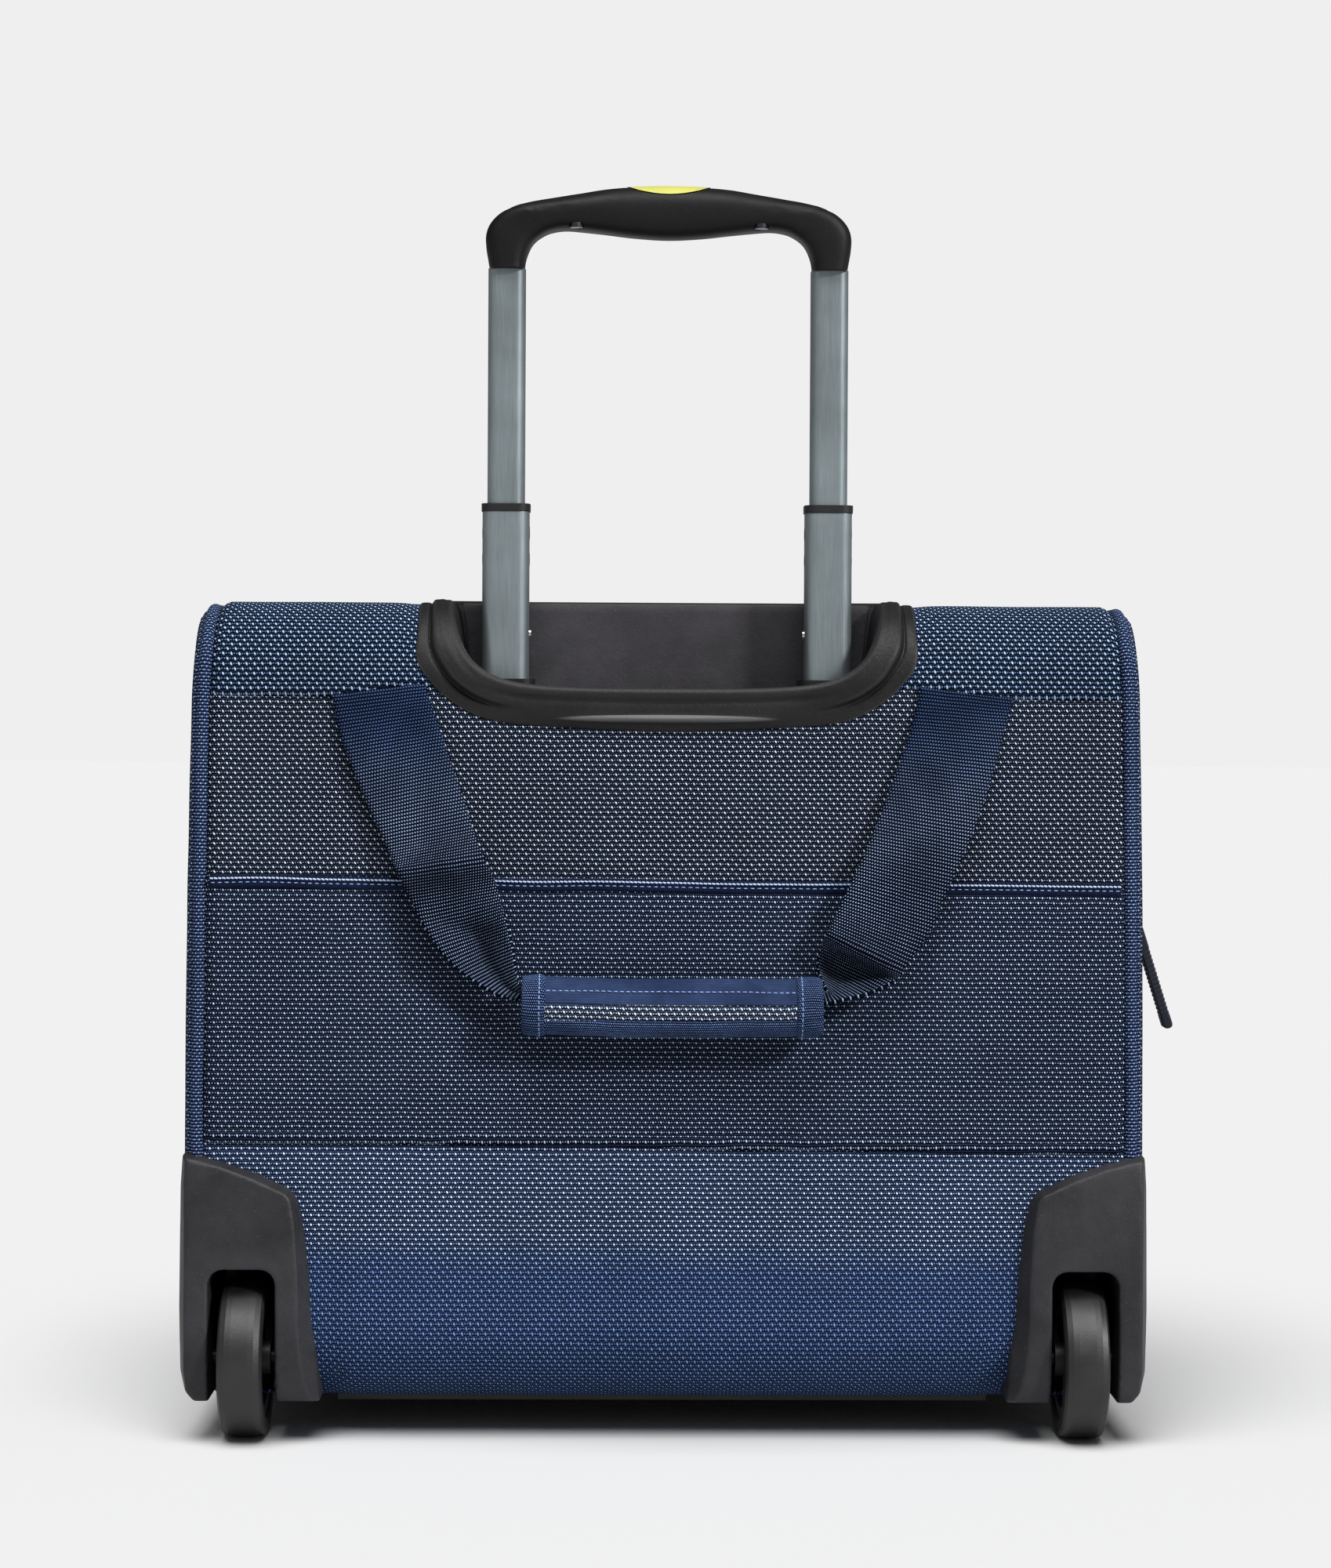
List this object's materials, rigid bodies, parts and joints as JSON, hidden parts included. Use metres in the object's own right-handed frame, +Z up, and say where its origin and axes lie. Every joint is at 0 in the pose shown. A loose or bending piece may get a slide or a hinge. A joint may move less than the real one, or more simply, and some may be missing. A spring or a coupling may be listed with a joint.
{
  "type": "rolling laptop case",
  "caption": "Soft-sided upright case on rear wheels with a telescopic pull handle in a top tray, webbing carry handles, a fold-down zipped lid, a laptop sleeve and a front pocket.",
  "frame": {"origin": "on the floor under the middle of the case", "axes": "+Z up, -Y towards the rear with the wheels and pull handle, +Y towards the lid, +X to the right seen from the rear"},
  "size_m": [0.4756, 0.2525, 0.5703],
  "materials": {
    "fabric_navy": "navy two-tone ballistic weave with pale threads",
    "webbing_navy": "navy ribbed polyester webbing",
    "lining_grey": "plain dark grey padded lining",
    "zip_tape": "dark woven zip tape with nylon coil",
    "plastic_black": "fine grained moulded black plastic",
    "board_black": "thin polypropylene board",
    "tube_gunmetal": "anodised gunmetal grey",
    "steel_bright": "bright steel",
    "zip_metal": "dark painted die-cast zinc",
    "tyre_rubber": "dark grey wheel tread",
    "hub_plastic": "black moulded wheel hub",
    "button_yellow": "lemon yellow satin plastic"
  },
  "bodies": {
    "case": {"base_chassis": "plastic_black", "front_feet": "plastic_black", "lower_back_panel": "fabric_navy", "middle_back_panel": "fabric_navy", "upper_back_panel": "fabric_navy", "top_yoke": "fabric_navy", "side_panel_left": "fabric_navy", "side_panel_right": "fabric_navy", "rear_piping": "webbing_navy", "back_board": "board_black", "inner_back_wall": "lining_grey", "laptop_sleeve": "lining_grey", "case_zip_tapes": "zip_tape", "lid_hinge_strip": "webbing_navy", "handle_tray": "plastic_black", "outer_tube_left": "tube_gunmetal", "outer_tube_right": "tube_gunmetal", "outer_bushes": "plastic_black", "tube_foot_bracket": "plastic_black", "wheel_housing_left": "plastic_black", "wheel_housing_right": "plastic_black", "wheel_axles": "steel_bright", "housing_screws": "steel_bright"},
    "lower_stage": {"lower_tube_left": "tube_gunmetal", "lower_tube_right": "tube_gunmetal", "lower_guides": "plastic_black"},
    "middle_stage": {"middle_tube_left": "tube_gunmetal", "middle_tube_right": "tube_gunmetal", "middle_guides": "plastic_black", "stop_pins": "steel_bright"},
    "inner_stage": {"inner_tube_left": "tube_gunmetal", "inner_tube_right": "tube_gunmetal", "lock_blocks": "plastic_black", "grip_lower_shell": "plastic_black", "grip_upper_shell": "plastic_black", "grip_screws": "steel_bright", "button_spring": "steel_bright"},
    "release": {"release_button": "button_yellow", "release_yoke": "steel_bright", "push_rods": "steel_bright"},
    "left_wheel": {"hub_left": "hub_plastic", "tyre_left": "tyre_rubber"},
    "right_wheel": {"hub_right": "hub_plastic", "tyre_right": "tyre_rubber"},
    "rear_handle": {"rear_handle_webbing": "webbing_navy", "rear_handle_wrap": "fabric_navy"},
    "lid": {"lid_shell": "fabric_navy", "lid_front_yoke": "fabric_navy", "lid_piping": "webbing_navy", "zip_tape_lid": "zip_tape", "pocket_zip": "zip_tape"},
    "pocket": {"pocket_panel": "fabric_navy"},
    "front_handle": {"front_handle_webbing": "webbing_navy", "front_handle_pad": "fabric_navy"},
    "pocket_zip_slider": {"pocket_slider": "zip_metal"},
    "pocket_zip_puller": {"pocket_puller": "webbing_navy"},
    "laptop_slider": {"laptop_zip_slider": "zip_metal"},
    "laptop_puller": {"laptop_zip_puller": "webbing_navy"},
    "lid_slider": {"lid_zip_slider": "zip_metal"},
    "lid_puller": {"lid_zip_puller": "webbing_navy"}
  },
  "joints": [
    {"name": "lower_stage_slide", "type": "slide", "parent": "case", "child": "lower_stage", "axis": [0, 0, 1], "range_m": [0, 0.22]},
    {"name": "middle_stage_slide", "type": "slide", "parent": "lower_stage", "child": "middle_stage", "axis": [0, 0, 1], "range_m": [-0.074, 0.16]},
    {"name": "inner_stage_slide", "type": "slide", "parent": "middle_stage", "child": "inner_stage", "axis": [0, 0, 1], "range_m": [-0.106, 0]},
    {"name": "button_press", "type": "slide", "parent": "inner_stage", "child": "release", "axis": [0, 0, -1], "range_m": [0, 0.0018], "stiffness_N_per_m": 900, "springref_m": -0.001, "deforming": ["button_spring"]},
    {"name": "left_wheel_spin", "type": "hinge", "parent": "case", "child": "left_wheel", "pos_m": [-0.19, -0.082, 0.036], "axis": [1, 0, 0], "continuous": true},
    {"name": "right_wheel_spin", "type": "hinge", "parent": "case", "child": "right_wheel", "pos_m": [0.19, -0.082, 0.036], "axis": [1, 0, 0], "continuous": true},
    {"name": "rear_handle_swing", "type": "hinge", "parent": "case", "child": "rear_handle", "pos_m": [0, -0.101, 0.338], "axis": [-1, 0, 0], "range_deg": [0, 165]},
    {"name": "lid_hinge", "type": "hinge", "parent": "case", "child": "lid", "pos_m": [0, 0.1, 0.022], "axis": [-1, 0, 0], "range_deg": [0, 80]},
    {"name": "pocket_mouth", "type": "hinge", "parent": "lid", "child": "pocket", "pos_m": [0, 0.1035, 0.028], "axis": [-1, 0, 0], "range_deg": [0, 12]},
    {"name": "front_handle_swing", "type": "hinge", "parent": "lid", "child": "front_handle", "pos_m": [0, 0.109, 0.338], "axis": [1, 0, 0], "range_deg": [0, 170]},
    {"name": "pocket_zip_slide", "type": "slide", "parent": "lid", "child": "pocket_zip_slider", "axis": [-1, 0, 0], "range_m": [0, 0.352]},
    {"name": "pocket_puller_flip", "type": "hinge", "parent": "pocket_zip_slider", "child": "pocket_zip_puller", "pos_m": [0.176, 0.1082, 0.1725], "axis": [0, 0, -1], "range_deg": [0, 170]},
    {"name": "laptop_zip_slide", "type": "slide", "parent": "case", "child": "laptop_slider", "axis": [0, 0, 1], "range_m": [-0.04, 0.11]},
    {"name": "laptop_puller_swing", "type": "hinge", "parent": "laptop_slider", "child": "laptop_puller", "pos_m": [0.2193, -0.044, 0.2377], "axis": [0, -1, 0], "range_deg": [0, 150]},
    {"name": "lid_zip_slide", "type": "slide", "parent": "case", "child": "lid_slider", "axis": [0, 0, 1], "range_m": [0, 0.275]},
    {"name": "lid_puller_swing", "type": "hinge", "parent": "lid_slider", "child": "lid_puller", "pos_m": [-0.2193, 0.07025, 0.075], "axis": [0, 1, 0], "range_deg": [0, 150]}
  ]
}
